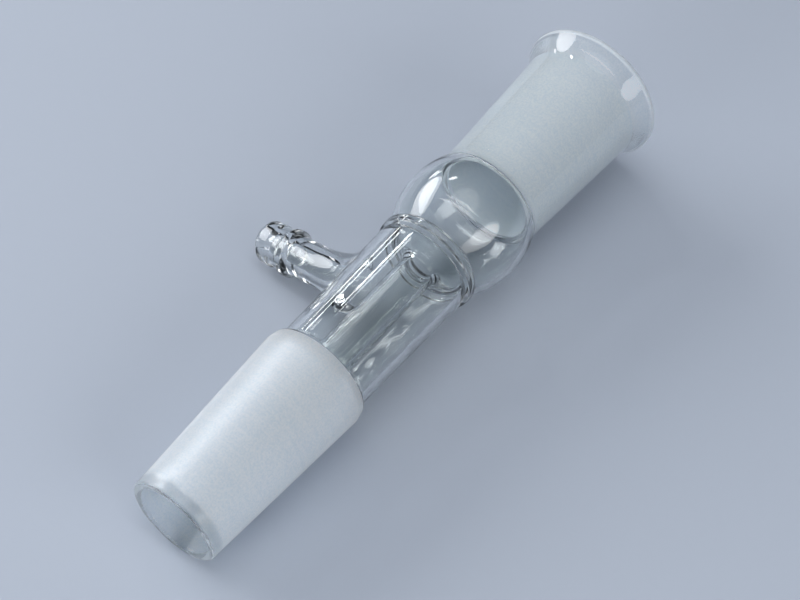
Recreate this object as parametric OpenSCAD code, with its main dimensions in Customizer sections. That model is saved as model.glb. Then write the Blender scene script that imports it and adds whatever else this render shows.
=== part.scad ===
// Straight receiver adapter in borosilicate glass: a ground cone, a body tube with a beaded
// hose arm, a ring seal that carries an inner drip tube, a bulb, and a ground socket.
// The glass is drawn along its own axis with the open end of the cone at zero, and is then
// laid down on the cone's shoulder, the bulb and the arm's end bead, as it comes to rest.

/* [Ground cone] */
// Diameter of the ground taper at its small end
cone_small_d = 20; // [18:0.5:24]
// Length of the ground taper
cone_len = 40; // [30:1:50]
// Rise in diameter per unit of length, alike on the cone and the socket
taper_share = 0.1; // [0.08:0.01:0.12]
// Wall of the cone
cone_wall = 1.8; // [1.2:0.1:2.3]
// Thickness of the fire-polished round at the cone's open end
cone_lip_d = 2; // [1.9:0.05:2.6]
// Length of the rounded shoulder between the ground zone and the body tube
shoulder_len = 3.5; // [2.5:0.1:5]

/* [Body tube] */
// Outside diameter at the shoulder
body_low_d = 21.2; // [19.6:0.1:23]
// Outside diameter at the ring seal
body_top_d = 22.4; // [22:0.1:23.4]
// Length from the shoulder to the ring seal
body_len = 31; // [28:0.5:40]
// Wall of the body tube
body_wall = 1.6; // [1.2:0.1:2]
// Rounding of the tube's top edge
body_edge_round = 1.2; // [0.8:0.1:1.6]

/* [Ring seal] */
// Outside diameter of the fused bead
seal_bead_d = 23.8; // [23:0.1:26]
// Width of the bead along the axis
seal_bead_w = 3; // [2.6:0.1:4]
// Diameter of the shallow waist on both sides of the bead
seal_waist_d = 21.8; // [21:0.1:22.6]
// Height of the bead's middle above the top of the body tube
seal_rise = 3.3; // [3:0.1:4.5]

/* [Bulb] */
// Largest outside diameter
bulb_d = 28.8; // [27:0.1:32]
// Radius of the bulb's outline along the axis
bulb_arc_r = 20; // [18:0.5:26]
// Wall of the bulb
bulb_wall = 1.8; // [1.3:0.1:2.3]

/* [Ground socket] */
// Bore of the ground taper at its large end
socket_large_d = 24; // [22.5:0.5:25]
// Length of the ground bore
socket_len = 32; // [24:1:40]
// Wall of the socket
socket_wall = 2.05; // [1.5:0.05:2.6]

/* [Rim] */
// Radius of the outward sweep under the rim
flare_r = 9.5; // [7:0.5:13]
// Angle through which the wall sweeps outwards
flare_deg = 38; // [25:1:50]
// Thickness of the rounded lip
lip_d = 2.3; // [2.1:0.1:3]

/* [Drip tube] */
// Outside diameter of the inner tube
drip_d = 8; // [6.5:0.1:9]
// Wall of the inner tube
drip_wall = 1; // [0.8:0.1:1.3]
// Length of the inner tube below the ring seal
drip_len = 51; // [40:1:60]
// Slant of the cut at the drip tip, from square
drip_cut_deg = 40; // [20:1:50]
// Slope of the flared web that joins the inner tube to the wall
web_deg = 24; // [12:1:35]
// Thickness of the web, measured along the axis
web_t = 1.8; // [1.2:0.1:2.4]
// Rounding where the inner tube runs into the web
web_round = 2.2; // [1.5:0.1:2.6]
// Slope of the funnel between the inner tube's bore and the web
funnel_deg = 55; // [48:1:62]

/* [Hose arm] */
// Height of the arm above the top of the cone's shoulder
arm_rise = 22; // [18.5:0.5:24]
// Outside diameter of the arm's neck
arm_neck_d = 8.5; // [7.5:0.1:9]
// Bore of the arm
arm_bore_d = 4.4; // [3:0.1:5]
// Distance from the main axis to the middle of the end bead
arm_reach = 33; // [30:0.5:40]
// Outside diameter of the end bead
end_bead_d = 9.7; // [9:0.1:11]
// Width of the end bead along the arm
end_bead_w = 4.6; // [3.6:0.1:5]
// Outside diameter of the second bead
grip_bead_d = 10.3; // [9.4:0.1:11.4]
// Width of the second bead along the arm
grip_bead_w = 3.6; // [2.8:0.1:4.4]
// Distance between the middles of the two beads
bead_pitch = 6.2; // [5:0.1:7]
// Radius of the sweep from the neck into the root cone
root_sweep_r = 8; // [5:0.5:10]
// Half angle of the root cone where the arm is drawn out of the body
root_deg = 16; // [10:1:17]
// Distance from the main axis to the end of the sweep
root_top = 19.6; // [18:0.1:20.5]
// Diameter of the cone that widens the arm's bore into the body, at its large end
mouth_d = 7.2; // [6.6:0.1:7.8]

/* [Hidden] */
$fn = 96;
// How far a cut runs past the face that it opens
overrun = 2;
// How far a fillet's arc dips under the faces that it joins, so that it crosses them
fillet_bite = 0.03;
// How far below its start a rounded edge has the centre of its arc, as a share of the edge's height
edge_lead_share = 0.1;
taper_side_share = taper_share / 2;

// Radii of the cone, and stations along the axis counted from its open end
cone_small_r = cone_small_d / 2;
cone_large_r = cone_small_r + cone_len * taper_side_share;
cone_lip_r = cone_lip_d / 2;
cone_lip_ring_r = cone_small_r + cone_lip_r * taper_side_share - cone_wall / 2;
shoulder_top = cone_len + shoulder_len;
body_top = shoulder_top + body_len;
seal_z = body_top + seal_rise;

// Body tube, a little wider at the seal than at the shoulder
body_low_r = body_low_d / 2;
body_top_r = body_top_d / 2;
body_bore_r = body_top_r - body_wall;
body_mid_r = body_low_r - body_wall / 2;

// The bulb's outline is one arc from the waist of the seal to the low end of the socket
bulb_r = bulb_d / 2;
bulb_off = bulb_r - bulb_arc_r;
waist_r = seal_waist_d / 2;
bulb_low = seal_z + seal_bead_w / 2;
bulb_z = bulb_low + sqrt(pow(bulb_arc_r, 2) - pow(waist_r - bulb_off, 2));
socket_large_r = socket_large_d / 2;
socket_low_r = socket_large_r - socket_len * taper_side_share + socket_wall;
socket_low = bulb_z + sqrt(pow(bulb_arc_r, 2) - pow(socket_low_r - bulb_off, 2));
socket_top = socket_low + socket_len;

// The rim sweeps outwards about a ring of centres, and its lip is a ring at the end of the sweep
sweep_r = socket_large_r + socket_wall + flare_r;
lip_arc_r = flare_r + socket_wall / 2;
lip_ring_r = sweep_r - lip_arc_r * cos(flare_deg);
lip_z = socket_top + lip_arc_r * sin(flare_deg);

// The web's lower face starts at the inner tube and meets the wall at the middle of the seal
drip_r = drip_d / 2;
drip_bore_r = drip_r - drip_wall;
web_low = seal_z - (body_bore_r - drip_r) * tan(web_deg);
web_high = web_low + web_t;
funnel_low = web_high - web_round;
drip_tip = seal_z - drip_len;

// The arm's root cone runs on from the end of the sweep towards the main axis
arm_z = shoulder_top + arm_rise;
neck_r = arm_neck_d / 2;
sweep_end = root_top - root_sweep_r * sin(root_deg);
sweep_end_r = neck_r + root_sweep_r * (1 - cos(root_deg));
root_low = body_low_r / 2;
end_ring_r = (end_bead_d - end_bead_w) / 2;

// Rest: the axis tilts until the cone's large end shares the table with the bulb or the rim's lip,
// whichever touches first, and the glass rolls about its axis until the end bead shares it too
rim_run = lip_z - cone_len;
rim_rise = lip_ring_r - cone_large_r;
rim_tilt = atan(rim_rise / rim_run) + asin(lip_d / 2 / norm([rim_run, rim_rise]));
bulb_run = bulb_z - cone_len;
bulb_rise = bulb_off - cone_large_r;
bulb_tilt = atan(bulb_rise / bulb_run) + asin(bulb_arc_r / norm([bulb_run, bulb_rise]));
rest_tilt = max(rim_tilt, bulb_tilt);
axis_height = cone_large_r * cos(rest_tilt) - cone_len * sin(rest_tilt);
bead_drop = axis_height - end_bead_w / 2 + arm_z * sin(rest_tilt);
droop_sine = sin(asin(bead_drop / norm([arm_reach, end_ring_r])) - atan(end_ring_r / arm_reach));
rest_droop = asin(droop_sine / cos(rest_tilt));

// Ends of the resting glass along the axis and across it
far_x = lip_z * cos(rest_tilt) + lip_ring_r * sin(rest_tilt) + lip_d / 2;
near_x = cone_lip_r * cos(rest_tilt) - cone_lip_ring_r * sin(rest_tilt) - cone_lip_r;
arm_y = arm_reach * cos(rest_droop) + end_ring_r * sin(rest_droop) + end_bead_w / 2;
rim_y = lip_ring_r + lip_d / 2;

// Outside of the cone, outside of the body tube and bore of the socket, at a station on the axis
function cone_r(z) = cone_small_r + z * taper_side_share;
function body_r(z) = body_low_r + (z - shoulder_top) * (body_top_r - body_low_r) / body_len;
function socket_r(z) = socket_large_r - (socket_top - z) * taper_side_share;

// Box between two stations, from the axis out to a radius
module band(r, low, high) translate([0, low]) square([r, high - low]);

// Tapered length between two stations, filled to the axis
module taper(r_low, low, r_high, high) polygon([[0, low], [r_low, low], [r_high, high], [0, high]]);

// Everything under an edge that rounds inwards from (r, z) through (r_end, z_end)
module rounded_edge(r, z, r_end, z_end) {
    lead = (z_end - z) * edge_lead_share;
    centre_r = (r * r - r_end * r_end - (z_end - z) * (z_end - z + 2 * lead)) / (2 * (r - r_end));
    translate([centre_r, z - lead]) circle(norm([r - centre_r, lead]));
    band(r + overrun, 0, z - lead);
}

// Everything under the line of a web face that climbs from (r, z) at web_deg
module under_web(r, z) {
    reach = bulb_d;
    band(reach, 0, z);
    polygon([[0, z - r * tan(web_deg)], [reach, z], [reach, z + (reach - r) * tan(web_deg)]]);
}

// Ground cone with its rounded shoulder
module cone_outside() intersection() {
    taper(cone_r(cone_lip_r), cone_lip_r, cone_r(body_top), body_top);
    rounded_edge(cone_large_r, cone_len, body_low_r, shoulder_top);
}

// Body tube with its rounded top edge
module body_outside() {
    edge_top = body_top + body_edge_round;
    intersection() {
        taper(body_r(cone_len), cone_len, body_r(edge_top), edge_top);
        rounded_edge(body_top_r, body_top, body_top_r - body_edge_round, edge_top);
    }
}

// Fused ring with its bead, and the bulb above it
module seal_and_bulb_outside() {
    band(waist_r, body_top - body_edge_round, bulb_z);
    translate([(seal_bead_d - seal_bead_w) / 2, seal_z]) circle(seal_bead_w / 2);
    intersection() {
        translate([bulb_off, bulb_z]) circle(bulb_arc_r);
        band(bulb_r + overrun, seal_z, socket_low + overrun);
    }
}

// Socket, swept outwards into the rim as far as the line through the lip
module socket_outside() difference() {
    union() {
        taper(socket_r(bulb_z) + socket_wall, bulb_z, socket_large_r + socket_wall, socket_top);
        polygon([[0, socket_top], [sweep_r, socket_top], [0, socket_top + sweep_r * tan(flare_deg)]]);
    }
    translate([sweep_r, socket_top]) circle(flare_r + fillet_bite);
}

// Inner tube's outside, with the fillet under the web
module drip_outside() {
    arc_z = web_low + web_round * (tan(web_deg) - 1 / cos(web_deg));
    arc_end = [drip_r + web_round * (1 - sin(web_deg)), arc_z + web_round * cos(web_deg)];
    band(drip_r, drip_tip, web_high);
    difference() {
        polygon([[0, arc_z], [drip_r, arc_z], arc_end, [arc_end[0], web_high], [0, web_high]]);
        translate([drip_r + web_round, arc_z]) circle(web_round + fillet_bite);
    }
}

// Space round the inner tube, open at the end of the cone
module lower_space() difference() {
    intersection() {
        union() {
            taper(cone_small_r - cone_wall, 0, cone_large_r - cone_wall, cone_len);
            taper(cone_large_r - cone_wall, cone_len, body_low_r - body_wall, shoulder_top);
            taper(body_low_r - body_wall, shoulder_top, body_bore_r, body_top);
            band(body_bore_r, body_top, seal_z);
        }
        under_web(drip_r, web_low);
    }
    drip_outside();
}

// Space through the rim, the socket, the bulb and the bore of the inner tube
module upper_space() {
    flare_top = socket_top + 2 * sweep_r * tan(flare_deg);
    bore_top = socket_top + 2 * overrun;
    funnel_r = drip_r + web_round;
    funnel_high = funnel_low + (funnel_r - drip_bore_r) * tan(funnel_deg);
    difference() {
        polygon([[0, socket_top], [sweep_r, socket_top], [0, flare_top]]);
        translate([sweep_r, socket_top]) circle(flare_r + socket_wall + fillet_bite);
    }
    taper(socket_r(bulb_z), bulb_z, socket_r(bore_top), bore_top);
    difference() {
        intersection() {
            translate([bulb_off, bulb_z]) circle(bulb_arc_r - bulb_wall);
            band(bulb_r, body_top, socket_low + overrun);
        }
        under_web(drip_r, web_high);
    }
    band(drip_bore_r, drip_tip - overrun, bulb_z);
    taper(0, funnel_low - drip_bore_r * tan(funnel_deg), funnel_r, funnel_high);
}

// Half section of the glass on one side of the axis
module section() {
    difference() {
        union() {
            cone_outside();
            body_outside();
            seal_and_bulb_outside();
            socket_outside();
        }
        lower_space();
        upper_space();
    }
    translate([cone_lip_ring_r, cone_lip_r]) circle(cone_lip_r);
    translate([lip_ring_r, lip_z]) circle(lip_d / 2);
}

// Outside of the arm along its own axis, from the main axis outwards
module arm_outside() {
    band(neck_r, root_low, arm_reach);
    taper(sweep_end_r + (sweep_end - root_low) * tan(root_deg), root_low, sweep_end_r, sweep_end);
    difference() {
        taper(sweep_end_r, sweep_end, neck_r, root_top);
        translate([neck_r + root_sweep_r, root_top]) circle(root_sweep_r + fillet_bite);
    }
    translate([(grip_bead_d - grip_bead_w) / 2, arm_reach - bead_pitch]) circle(grip_bead_w / 2);
    translate([end_ring_r, arm_reach]) circle(end_bead_w / 2);
}

// Bore of the arm, drawn out from a wide mouth in the body's wall
module arm_space() {
    mouth_low = drip_r + overrun / 2;
    band(arm_bore_d / 2, mouth_low, arm_reach + end_bead_w / 2 + overrun);
    taper(mouth_d / 2, mouth_low, 0, root_top + overrun);
}

// Sets a shape drawn along the main axis across it, at the arm's station
module at_arm() translate([0, 0, arm_z]) rotate([-90, 0, 0]) children();

// Wedge that cuts the drip tip on the slant, with the point away from the arm
module drip_cut() {
    slant = drip_d * tan(drip_cut_deg);
    reach = drip_d + overrun;
    intersection() {
        translate([0, 0, drip_tip - overrun]) cylinder(d = reach, h = slant + 2 * overrun);
        translate([0, -drip_r, drip_tip]) rotate([drip_cut_deg, 0, 0])
            translate([-reach, -reach, -2 * reach]) cube([2 * reach, 4 * reach, 2 * reach]);
    }
}

module adapter_glass() {
    color([0.86, 0.91, 0.93, 0.5])
    translate([-(far_x + near_x) / 2, -(arm_y - rim_y) / 2, axis_height])
    rotate([0, -rest_tilt, 0])
    rotate([-rest_droop, 0, 0])
    rotate([0, 90, 0])
    difference() {
        union() {
            rotate_extrude() section();
            difference() {
                at_arm() rotate_extrude() arm_outside();
                cylinder(r = body_mid_r, h = seal_z);
            }
        }
        at_arm() rotate_extrude() arm_space();
        drip_cut();
    }
}

adapter_glass();
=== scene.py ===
import math
import bmesh
import bpy
import numpy as np
from mathutils import Matrix, Vector


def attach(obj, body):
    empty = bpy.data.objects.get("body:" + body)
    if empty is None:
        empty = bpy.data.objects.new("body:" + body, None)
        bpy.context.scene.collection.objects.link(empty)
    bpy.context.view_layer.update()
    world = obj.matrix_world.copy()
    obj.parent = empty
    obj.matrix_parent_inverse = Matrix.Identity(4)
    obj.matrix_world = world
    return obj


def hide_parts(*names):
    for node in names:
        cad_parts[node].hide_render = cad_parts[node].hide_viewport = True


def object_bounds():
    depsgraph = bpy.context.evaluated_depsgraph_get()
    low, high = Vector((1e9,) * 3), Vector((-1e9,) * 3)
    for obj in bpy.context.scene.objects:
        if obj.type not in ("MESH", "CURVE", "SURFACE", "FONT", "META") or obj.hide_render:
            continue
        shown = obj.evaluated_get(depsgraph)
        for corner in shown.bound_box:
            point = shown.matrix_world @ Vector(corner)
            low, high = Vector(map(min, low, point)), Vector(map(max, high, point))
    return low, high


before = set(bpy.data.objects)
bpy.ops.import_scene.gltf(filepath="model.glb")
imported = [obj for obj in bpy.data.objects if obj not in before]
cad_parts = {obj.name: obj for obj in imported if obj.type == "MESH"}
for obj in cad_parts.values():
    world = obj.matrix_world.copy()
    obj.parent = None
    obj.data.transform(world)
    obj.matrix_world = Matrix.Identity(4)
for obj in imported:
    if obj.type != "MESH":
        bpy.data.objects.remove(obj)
cad_low, cad_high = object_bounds()

# Adapter glass: cone, body tube, ring seal, inner drip tube, bulb, socket and hose arm, drawn from
# borosilicate tubing and fused in the flame into one piece. Its main part is turned on a lathe, so
# it is one closed outline carried round the axis. Sizes are in millimetres from the cone's open end.
AXIS_STEPS, WALL_SPACING = 144, 1.2
ARM_Z = 65.5
DRIP_TIP, DRIP_R, DRIP_SLANT, DRIP_CUT_TOP = 26.8, 4.0, math.radians(40), 45


def rounded_outline(corners, spacing, closed=True, arc_step=math.radians(6.5)):
    """Points along straight runs whose corners are rounded.

    Each corner is (r, z, radius). The arc that touches both runs at a corner has its centre on the
    corner's bisector, radius / sin(half the angle between the runs) away, and touches each run
    radius / tan(half that angle) from the corner. Returns the points and, for each, twice the
    number of its corner, or one more on the run that follows that corner.
    """
    spec = np.array(corners, float)
    p, radius = spec[:, :2], spec[:, 2]
    back, ahead = np.roll(p, 1, 0) - p, np.roll(p, -1, 0) - p
    back /= np.linalg.norm(back, axis=1)[:, None]
    ahead /= np.linalg.norm(ahead, axis=1)[:, None]
    half = np.arccos(np.clip((back * ahead).sum(1), -1, 1)) / 2
    bisector = back + ahead
    bisector /= np.linalg.norm(bisector, axis=1)[:, None] + 1e-9
    centre = p + bisector * (radius / np.sin(half))[:, None]
    touch = (radius / np.tan(half))[:, None]
    enter, leave = p + back * touch, p + ahead * touch
    turn = (math.pi - 2 * half) * np.sign(back[:, 1] * ahead[:, 0] - back[:, 0] * ahead[:, 1])
    points, labels = [], []
    for i in range(len(p)):
        steps = max(1, math.ceil(abs(turn[i]) / arc_step)) if radius[i] else 0
        a = np.linspace(0, turn[i], steps + 1)[:, None]
        arm = enter[i] - centre[i]
        arc = centre[i] + np.cos(a) * arm + np.sin(a) * np.array([-arm[1], arm[0]])
        run = enter[(i + 1) % len(p)] - leave[i]
        cuts = max(1, math.ceil(np.linalg.norm(run) / spacing))
        line = leave[i] + np.linspace(0, 1, cuts + 1)[1:-1, None] * run
        if not closed and i == len(p) - 1:
            line = line[:0]
        points += [arc, line]
        labels += [np.full(len(arc), 2 * i), np.full(len(line), 2 * i + 1)]
    return np.concatenate(points), np.concatenate(labels)


# Outline of the wall: up the outside from the cone's fire-polished end, over the lip of the rim,
# down the inside to the ring seal, down and up the inner drip tube, and down the inside of the body.
wall = {
    "cone_end_in": (8.2, 0, 0.85),
    "cone_end_out": (10, 0, 0.75),
    "grind_start": (10.05, 1.0, 0),
    "melt_line": (10.12, 2.4, 0),
    "flame_line": (10.15, 3.0, 0),
    "shoulder_edge": (12.03, 40.5, 1.8),
    "shoulder_side": (11.55, 42.7, 1.2),
    "shoulder_foot": (10.6, 43.55, 0.6),
    "tube_edge": (11.25, 75.2, 0.8),
    "seal_groove": (11.02, 76.1, 0.4),
    "bead_low": (11.75, 76.75, 0.6),
    "bead_high": (11.9, 78.75, 0.9),
    "waist": (10.97, 79.45, 0.35),
    "bulb": (17.1, 88.9, 20),
    "socket_foot": (12.42, 99.35, 2.2),
    "rim_sweep": (14.2, 134.2, 9),
    "lip_out": (16.87, 137.94, 1.12),
    "lip_in": (15.06, 139.36, 1.12),
    "mouth_sweep": (12.18, 134.9, 10.5),
    "bore_end": (10.3, 97.9, 0.75),
    "bore_step": (11.7, 98.0, 0.5),
    "bulb_inside": (15.6, 88.1, 16.5),
    "bowl_edge": (8.5, 79.1, 2.6),
    "funnel": (3, 76.66, 2.4),
    "drip_in": (3, DRIP_TIP, 0.35),
    "drip_out": (DRIP_R, DRIP_TIP, 0.35),
    "web_root": (DRIP_R, 75.3, 2.2),
    "web_edge": (9.62, 77.8, 1.2),
    "shoulder_in": (9, 43.6, 2.5),
    "cone_in": (10.2, 40, 2.5),
}
corner_no = {name: 2 * i for i, name in enumerate(wall)}
outline, part_of = rounded_outline(list(wall.values()), WALL_SPACING)
rows, cols = len(outline), AXIS_STEPS
theta = np.arange(cols) * 2 * math.pi / cols
x = outline[:, :1] * np.cos(theta)
y = outline[:, :1] * np.sin(theta)
z = np.repeat(outline[:, 1:], cols, 1)

# The drip tip is cut on the slant, with its point on the side away from the arm: below the top of
# the cut the inner tube is drawn up in proportion to the distance from that side.
on_drip = (part_of >= corner_no["funnel"] + 1) & (part_of <= corner_no["drip_out"] + 1)
pull = np.clip((DRIP_CUT_TOP - z) / (DRIP_CUT_TOP - DRIP_TIP), 0, 1) * on_drip[:, None]
z = z + pull * (y + DRIP_R) * math.tan(DRIP_SLANT)
grid = np.stack([x, y, z], -1).reshape(-1, 3)
number = np.arange(rows * cols).reshape(rows, cols)


def quads(a):
    """Faces of a grid of vertex numbers: each joins a point to its next in both directions."""
    return np.stack([a[:-1, :-1], a[1:, :-1], a[1:, 1:], a[:-1, 1:]], -1).reshape(-1, 4)


HALF_COLS, HALF_ROWS = 18, 6


def arm_window(run):
    """Rows of the wall about the arm, lowest first, and the ring of vertices round that window."""
    on_run = np.flatnonzero(part_of == run)
    on_run = on_run[np.argsort(outline[on_run, 1])]
    middle = np.argmin(np.abs(outline[on_run, 1] - ARM_Z))
    rows_in = on_run[middle - HALF_ROWS:middle + HALF_ROWS + 1]
    first, last = cols // 4 - HALF_COLS, cols // 4 + HALF_COLS
    block = number[rows_in][:, first:last + 1]
    ring = np.concatenate([block[0, :-1], block[:-1, -1], block[-1, :0:-1], block[:0:-1, 0]])
    return rows_in, ring, outline[rows_in]


out_rows, out_ring, out_line = arm_window(corner_no["shoulder_foot"] + 1)
in_rows, in_ring, in_line = arm_window(corner_no["web_edge"] + 1)
wrapped = np.pad(number, ((0, 1), (0, 1)), mode="wrap")
body_faces = quads(wrapped)
face_row, face_col = np.divmod(np.arange(rows * cols), cols)
in_field = np.abs(face_col + 0.5 - cols / 4) < HALF_COLS
kept = np.ones(rows * cols, bool)
for field in (out_rows, in_rows):
    kept &= ~(in_field & (face_row >= field.min()) & (face_row < field.max()))


def zone(first, last):
    """Rows of the outline from the start of one corner's arc to the start of a later corner's."""
    return (part_of >= corner_no[first]) & (part_of < corner_no[last])


# Finishes: the cone outside and the socket inside are ground on a mandrel, the flame has half melted
# the grinding at the rim's inside and more at the cone's end, and the rest is clear.
CLEAR, GROUND, FLAMED, BORE, MELTED = range(5)
LIP_TOP, GRIND_TOP, BORE_TOP = 0.2, 42.3, 134.4
row_z = (outline[:, 1] + np.roll(outline[:, 1], -1)) / 2
finish = np.full(rows, CLEAR, np.int32)
finish[zone("grind_start", "shoulder_foot") & (row_z < GRIND_TOP)] = GROUND
finish[zone("lip_in", "bore_end") & (row_z < BORE_TOP)] = BORE
finish[zone("melt_line", "flame_line")] = FLAMED
finish[zone("cone_end_out", "melt_line") & (row_z > LIP_TOP)] = MELTED
finish[zone("lip_out", "bore_end") & (row_z >= BORE_TOP)] = FLAMED
body_finish = finish[face_row][kept]
body_faces = body_faces[kept]


# Hose arm, sealed into the body as a tee: the side tube's end is melted into a hole in the wall, so
# both surfaces run into each other on a hollow curve. Its free end is pressed into two beads, and
# set by eye it leans a little to the socket.
def on_wall(line, across, along):
    """Point of the tapering wall at an arc length across and a height along, from the arm's axis.

    The radius grows in line with the height, and the angle round the axis is the arc over the
    radius at the arm. Also returns the wall's directions across and along.
    """
    slope = (line[-1, 0] - line[0, 0]) / (line[-1, 1] - line[0, 1])
    r_arm = line[0, 0] + slope * (ARM_Z - line[0, 1])
    r = r_arm + slope * along
    s, c = np.sin(across / r_arm), np.cos(across / r_arm)
    point = np.stack([-r * s, r * c, ARM_Z + along], -1)
    return point, np.stack([-c, -s, 0 * s], -1), np.stack([-slope * s, slope * c, 1 + 0 * s], -1)


def seal_field(ring, line, foot, neck_r, neck_s, flat_steps, sweep_steps, reach):
    """Surface from a window's edge to the arm: a flat field on the wall, then a hollow sweep.

    The field slides from the window's edge to an oval foot along straight lines on the unrolled
    wall. The sweep is a cubic curve for each direction: it leaves the foot along the wall and
    arrives at the neck's ring along the arm. Returns rows of points and the directions.
    """
    slope = (line[-1, 0] - line[0, 0]) / (line[-1, 1] - line[0, 1])
    r_arm = line[0, 0] + slope * (ARM_Z - line[0, 1])
    edge = grid[ring]
    across = (np.arctan2(edge[:, 1], edge[:, 0]) - math.pi / 2) * r_arm
    along = edge[:, 2] - ARM_Z
    way = np.arctan2(across, along)
    rho = 1 / np.hypot(np.sin(way) / foot[0], np.cos(way) / foot[1])
    foot_across, foot_along = rho * np.sin(way), rho * np.cos(way)
    t = np.linspace(0, 1, flat_steps + 1)[:, None]
    flat = on_wall(line, across + t * (foot_across - across), along + t * (foot_along - along))[0]
    start, d_across, d_along = on_wall(line, foot_across, foot_along)
    lead = -(np.sin(way)[:, None] * d_across + np.cos(way)[:, None] * d_along)
    stop = np.stack([-neck_r * np.sin(way), 0 * way + neck_s, ARM_Z + neck_r * np.cos(way)], -1)
    meet = np.sqrt(r_arm ** 2 - (neck_r * np.sin(way)) ** 2)
    p1 = start + lead * (reach * (rho - neck_r))[:, None]
    p2 = stop - np.outer(reach * (neck_s - meet), [0, 1, 0])
    t = np.linspace(0, 1, sweep_steps + 1)[1:, None, None]
    sweep = (1 - t) ** 3 * start + 3 * (1 - t) ** 2 * t * p1 + 3 * (1 - t) * t ** 2 * p2 + t ** 3 * stop
    return np.concatenate([flat, sweep]), way


NECK_R, NECK_S, BORE_R, BORE_S = 4.35, 19.2, 2.2, 14.0
ARM_LEAN, LEAN_FROM, ARM_SPACING = 0.05, 11, 0.8
outer_field, outer_way = seal_field(out_ring, out_line, foot=(7.4, 7.0), neck_r=NECK_R, neck_s=NECK_S,
                                    flat_steps=7, sweep_steps=22, reach=0.42)
inner_field, inner_way = seal_field(in_ring, in_line, foot=(4.9, 4.7), neck_r=BORE_R, neck_s=BORE_S,
                                    flat_steps=8, sweep_steps=18, reach=0.45)
arm_wall = {
    "neck": (NECK_R, NECK_S, 0),
    "hose_bead_foot": (NECK_R, 25.3, 0.9),
    "hose_bead_low": (5.25, 26.4, 0.85),
    "hose_bead_high": (5.25, 27.9, 0.85),
    "groove_low": (4.25, 28.9, 0.8),
    "groove_high": (4.25, 30.5, 0.8),
    "end_bead_low": (4.85, 31.5, 0.9),
    "end_bead_high": (4.72, 34.2, 1.4),
    "end_face": (3.5, 35.6, 1.3),
    "bore_mouth": (BORE_R, 35.5, 0.6),
    "bore_foot": (BORE_R, BORE_S, 0),
}
arm_line = rounded_outline(list(arm_wall.values()), ARM_SPACING, closed=False)[0]
turned_in = np.linspace(0, 1, len(arm_line))[:, None] ** 2
way = outer_way + turned_in * ((inner_way - outer_way + math.pi) % (2 * math.pi) - math.pi)
arm_tube = np.stack([-arm_line[:, :1] * np.sin(way), np.repeat(arm_line[:, 1:], len(outer_way), 1),
                     ARM_Z + arm_line[:, :1] * np.cos(way)], -1)
arm_rows = np.concatenate([outer_field[1:], arm_tube[1:-1], inner_field[:0:-1]])
arm_rows[..., 2] += ARM_LEAN * np.clip(arm_rows[..., 1] - LEAN_FROM, 0, None)
arm_number = len(grid) + np.arange(arm_rows[..., 0].size).reshape(arm_rows.shape[:2])
arm_number = np.concatenate([out_ring[None], arm_number, in_ring[None]])
arm_faces = quads(np.pad(arm_number, ((0, 0), (0, 1)), mode="wrap"))

# The glass lies on its shoulder, its bulb and the arm's end bead: the axis climbs towards the rim
# and the glass is rolled about it, so that the arm droops to the table.
MM_PER_M = 1000
REST_TILT, REST_DROOP, AXIS_HEIGHT = math.radians(2.741), math.radians(14.837), 10.073
CONE_END_IN, RIM_REACH = 0.439, 16.406
place = (Matrix.Rotation(-REST_TILT, 3, "Y") @ Matrix.Rotation(-REST_DROOP, 3, "X")
         @ Matrix.Rotation(math.pi / 2, 3, "Y"))
start = np.array([cad_low[0] * MM_PER_M + CONE_END_IN, cad_low[1] * MM_PER_M + RIM_REACH, AXIS_HEIGHT])
lathe = np.concatenate([grid, arm_rows.reshape(-1, 3)])
points = (lathe @ np.array(place).T + start) / MM_PER_M
faces = np.concatenate([body_faces, arm_faces])
used, faces = np.unique(faces, return_inverse=True)
mesh = bpy.data.meshes.new("adapter_glass_blown")
mesh.from_pydata(points[used].tolist(), [], faces.reshape(-1, 4).tolist())
mesh.polygons.foreach_set("use_smooth", np.ones(len(mesh.polygons), bool))
mesh.polygons.foreach_set("material_index", np.pad(body_finish, (0, len(arm_faces))))
lathe_mm = mesh.attributes.new("lathe_mm", "FLOAT_VECTOR", "POINT")
lathe_mm.data.foreach_set("vector", lathe[used].astype(np.float32).ravel())
turned = bmesh.new()
turned.from_mesh(mesh)
bmesh.ops.recalc_face_normals(turned, faces=turned.faces)
turned.to_mesh(mesh)
turned.free()
adapter_glass = bpy.data.objects.new("adapter_glass_blown", mesh)
bpy.context.collection.objects.link(adapter_glass)
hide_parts("adapter_glass")
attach(adapter_glass, "root")


def linear(code):
    """Linear colour of an sRGB hex code: each channel by the sRGB curve."""
    c = np.array([int(code[i:i + 2], 16) for i in (1, 3, 5)]) / 255
    return (*np.where(c <= 0.04045, c / 12.92, ((c + 0.055) / 1.055) ** 2.4), 1.0)


def add_node(tree, kind, settings=(), values=(), links=()):
    """Adds a node, sets its properties and input values, and links outputs to its inputs."""
    node = tree.nodes.new(kind)
    for name, value in dict(settings).items():
        setattr(node, name, value)
    for name, value in dict(values).items():
        node.inputs[name].default_value = value
    for name, source in dict(links).items():
        tree.links.new(source, node.inputs[name])
    return node


def new_material(name):
    """Empty material with its node tree and its output node."""
    material = bpy.data.materials.new(name)
    material.use_nodes = True
    material.node_tree.nodes.clear()
    return material, material.node_tree, add_node(material.node_tree, "ShaderNodeOutputMaterial")


def stretched_noise(tree, share, size_mm, detail):
    """Noise in the lathe's own millimetres, with features of a given size, drawn out by a share."""
    own = add_node(tree, "ShaderNodeAttribute", {"attribute_name": "lathe_mm"})
    drawn = add_node(tree, "ShaderNodeVectorMath", {"operation": "MULTIPLY"}, {1: share},
                     {0: own.outputs["Vector"]})
    return add_node(tree, "ShaderNodeTexNoise", values={"Scale": 1 / size_mm, "Detail": detail},
                    links={"Vector": drawn.outputs["Vector"]}).outputs["Fac"]


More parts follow.
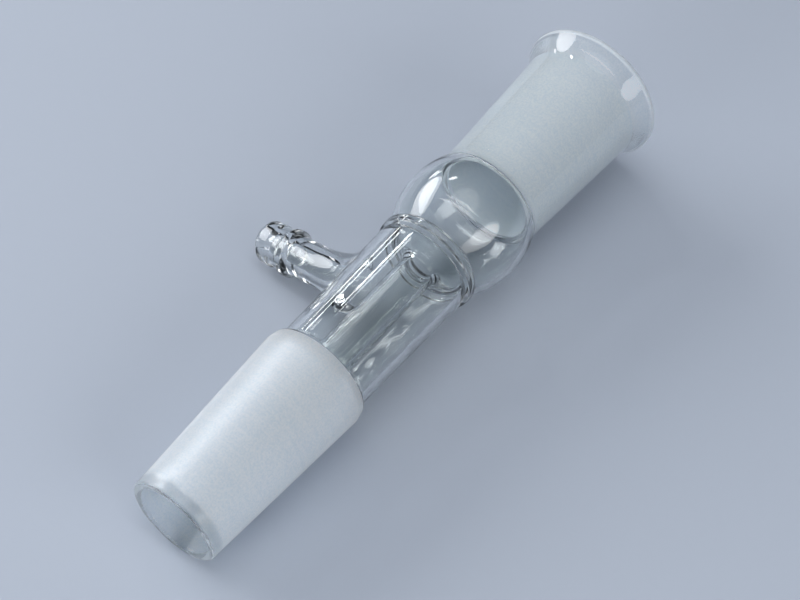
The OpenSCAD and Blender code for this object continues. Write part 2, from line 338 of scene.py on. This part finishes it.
def noise_to_range(tree, noise, low, high):
    """Carries a noise, which keeps mostly between 0.3 and 0.7, in a straight line to a range."""
    return add_node(tree, "ShaderNodeMapRange", values={
        "From Min": 0.3, "From Max": 0.7, "To Min": low, "To Max": high}, links={
        "Value": noise}).outputs["Result"]


# Clear borosilicate as the flame leaves it: colourless, smooth as a liquid, with bright narrow
# reflections. Drawing the tubing leaves faint waves about 3 mm wide that run along it, some
# thousandths of a millimetre deep, and the flame leaves soft waves about 7 mm across.
GLASS_IOR = 1.474
STRIA_MM, STRIA_SHARE, WAVE_MM, WAVE_DEPTH_M = 3.0, (1, 1, 0.06), 7.0, 0.000009
clear, tree, out = new_material("borosilicate_fire_polished")
striae = stretched_noise(tree, STRIA_SHARE, STRIA_MM, 1.0)
waves = stretched_noise(tree, (1, 1, 1), WAVE_MM, 1.0)
both = add_node(tree, "ShaderNodeMath", {"operation": "MULTIPLY_ADD"}, {1: 0.5}, {0: striae, 2: waves})
relief = add_node(tree, "ShaderNodeBump", values={"Strength": 1.0, "Distance": WAVE_DEPTH_M},
                  links={"Height": both.outputs["Value"]})
glass = add_node(tree, "ShaderNodeBsdfPrincipled", values={
    "Base Color": linear("#F7FAFA"), "IOR": GLASS_IOR, "Transmission Weight": 1.0}, links={
    "Roughness": noise_to_range(tree, waves, 0.004, 0.022), "Normal": relief.outputs["Normal"]})
tree.links.new(glass.outputs["BSDF"], out.inputs["Surface"])


def add_ramp(tree, value, stops):
    """Colours along a value: stops are pairs of a place and a hex code, lowest first."""
    node = add_node(tree, "ShaderNodeValToRGB", links={"Fac": value})
    elements = node.color_ramp.elements
    elements[0].position, elements[0].color = stops[0][0], linear(stops[0][1])
    elements[1].position, elements[1].color = stops[-1][0], linear(stops[-1][1])
    for position, code in stops[1:-1]:
        elements.new(position).color = linear(code)
    return node.outputs["Color"]


# Ground borosilicate: cut with grit on a turning mandrel until the surface is covered with pits of
# about 0.05 mm, which spread the light both ways and make the wall pale and misty. Pits so fine
# don't show, so they are drawn 8 times as coarse, with faint turning lines 0.8 mm apart.
PIT_MM, PIT_COARSER, PIT_DEPTH_M = 0.05, 8, 0.00004
RING_MM, RING_SHARE = 0.8, (0.05, 0.05, 1)
ROUGHNESS_SWING = 0.08


def ground_glass(name, dark, light, roughness, values):
    """Ground glass whose pits and turning lines shift its colour and roughness and roughen it."""
    material, tree, out = new_material(name)
    pits = stretched_noise(tree, (1, 1, 1), PIT_MM * PIT_COARSER, 2.0)
    rings = stretched_noise(tree, RING_SHARE, RING_MM, 1.0)
    ring_part = add_node(tree, "ShaderNodeMath", {"operation": "MULTIPLY"}, {1: 0.2}, {0: rings})
    mist = add_node(tree, "ShaderNodeMath", {"operation": "MULTIPLY_ADD"}, {1: 0.8},
                    {0: pits, 2: ring_part.outputs["Value"]}).outputs["Value"]
    relief = add_node(tree, "ShaderNodeBump", values={"Strength": 1.0, "Distance": PIT_DEPTH_M},
                      links={"Height": mist})
    glass = add_node(tree, "ShaderNodeBsdfPrincipled", values={"IOR": GLASS_IOR, **values}, links={
        "Base Color": add_ramp(tree, mist, [(0.36, dark), (0.64, light)]),
        "Roughness": noise_to_range(tree, mist, roughness - ROUGHNESS_SWING,
                                    roughness + ROUGHNESS_SWING),
        "Normal": relief.outputs["Normal"]})
    tree.links.new(glass.outputs["BSDF"], out.inputs["Surface"])
    return material


ground = ground_glass("borosilicate_ground", "#E4EEF6", "#F7FAFD", 0.8, {
    "Transmission Weight": 0.6, "Specular IOR Level": 0.0, "Sheen Weight": 0.25,
    "Sheen Roughness": 0.4})

# Where the flame has half melted the pits again: the rim's inside and, more strongly, the cone's
# end, which is close to clear for its last 2 mm.
flamed = ground_glass("borosilicate_ground_flamed", "#E4EDF4", "#F7FAFC", 0.4, {
    "Transmission Weight": 0.65})
melted = ground_glass("borosilicate_ground_melted", "#E4EDF4", "#F7FAFC", 0.4, {
    "Transmission Weight": 0.86})

# Ground bore of the socket, seen through the clear wall, which spreads its mist over the full width.
bore = ground_glass("borosilicate_ground_bore", "#E5EFF7", "#F4F9FC", 0.8, {
    "Transmission Weight": 0.15, "Specular IOR Level": 0.0})
surfaces = {CLEAR: clear, GROUND: ground, FLAMED: flamed, BORE: bore, MELTED: melted}
for slot in sorted(surfaces):
    mesh.materials.append(surfaces[slot])

# Table: a plain pale table top with matt paint, far larger than the part.
TABLE_HALF = 3
table_mesh = bpy.data.meshes.new("table")
table_mesh.from_pydata([(-TABLE_HALF, -TABLE_HALF, 0), (TABLE_HALF, -TABLE_HALF, 0),
                        (TABLE_HALF, TABLE_HALF, 0), (-TABLE_HALF, TABLE_HALF, 0)], [], [(0, 1, 2, 3)])
table = bpy.data.objects.new("table", table_mesh)
bpy.context.collection.objects.link(table)
paint, tree, out = new_material("table_matt_paint")
coat = add_node(tree, "ShaderNodeBsdfPrincipled", values={
    "Base Color": linear("#A9B1BE"), "Roughness": 0.7, "Specular IOR Level": 0.2})
tree.links.new(coat.outputs["BSDF"], out.inputs["Surface"])
table_mesh.materials.append(paint)

# Room and lamps: a soft grey room, darker near the table's level, panels overhead, a large soft lamp
# on each long side, one at the cone's end, and small ones that draw narrow lines along the tubing.
# The large lamp on the arm's side has a grid, which keeps its light off the table just below it.
room = bpy.data.worlds.new("room")
room.use_nodes = True
tree = room.node_tree
way_up = add_node(tree, "ShaderNodeSeparateXYZ", links={
    "Vector": add_node(tree, "ShaderNodeTexCoord").outputs["Generated"]})
shade = add_ramp(tree, way_up.outputs["Z"], [
    (0.0, "#0C0E11"), (0.35, "#2B2E33"), (0.75, "#8C929B"), (1.0, "#C4C9D0")])
tree.links.new(shade, tree.nodes["Background"].inputs["Color"])
bpy.context.scene.world = room
PART_MIDDLE = (0, 0, 0.01)


def soft_lamp(name, place, size, watts, aim=PART_MIDDLE, spread=180):
    """Oval soft lamp that faces a point and keeps its light within a spread in degrees."""
    lamp = bpy.data.lights.new(name, "AREA")
    lamp.shape, lamp.size, lamp.size_y, lamp.energy = "ELLIPSE", size[0], size[1], watts
    lamp.spread = math.radians(spread)
    holder = bpy.data.objects.new(name, lamp)
    holder.location = place
    holder.rotation_euler = (Vector(aim) - Vector(place)).to_track_quat("-Z", "Y").to_euler()
    bpy.context.collection.objects.link(holder)


soft_lamp("lamp_panel", (0.0, 0.0, 1.3), (1.1, 1.1), 2.6)
soft_lamp("lamp_overhead", (-0.05, 0.0, 0.72), (0.05, 1.0), 0.6, aim=(-0.05, 0, 0.01))
soft_lamp("lamp_side", (-0.05, 0.75, 0.36), (0.80, 0.40), 2.15, spread=110)
soft_lamp("lamp_strip", (0.32, 0.46, 0.53), (0.10, 0.05), 0.30)
soft_lamp("lamp_low", (0.30, 0.60, 0.16), (0.12, 0.04), 0.15)
soft_lamp("lamp_fill", (-0.10, -0.65, 0.32), (0.70, 0.35), 2.4)
soft_lamp("lamp_front", (-0.55, 0.05, 0.18), (0.30, 0.15), 0.9)

# Camera: where the photograph was taken from, above the cone's end, turned a little about its axis.
CAMERA_ROLL = math.radians(4.31)
camera = bpy.data.cameras.new("camera")
camera.sensor_width, camera.lens = 36, 81
eye, target = Vector((-0.18833, -0.13787, 0.30149)), Vector((-0.00275, -0.01088, 0.01307))
holder = bpy.data.objects.new("camera", camera)
turn = (target - eye).to_track_quat("-Z", "Y").to_matrix() @ Matrix.Rotation(CAMERA_ROLL, 3, "Z")
holder.matrix_world = Matrix.Translation(eye) @ turn.to_4x4()
bpy.context.collection.objects.link(holder)
bpy.context.scene.camera = holder
bpy.context.scene.view_settings.view_transform = "Standard"
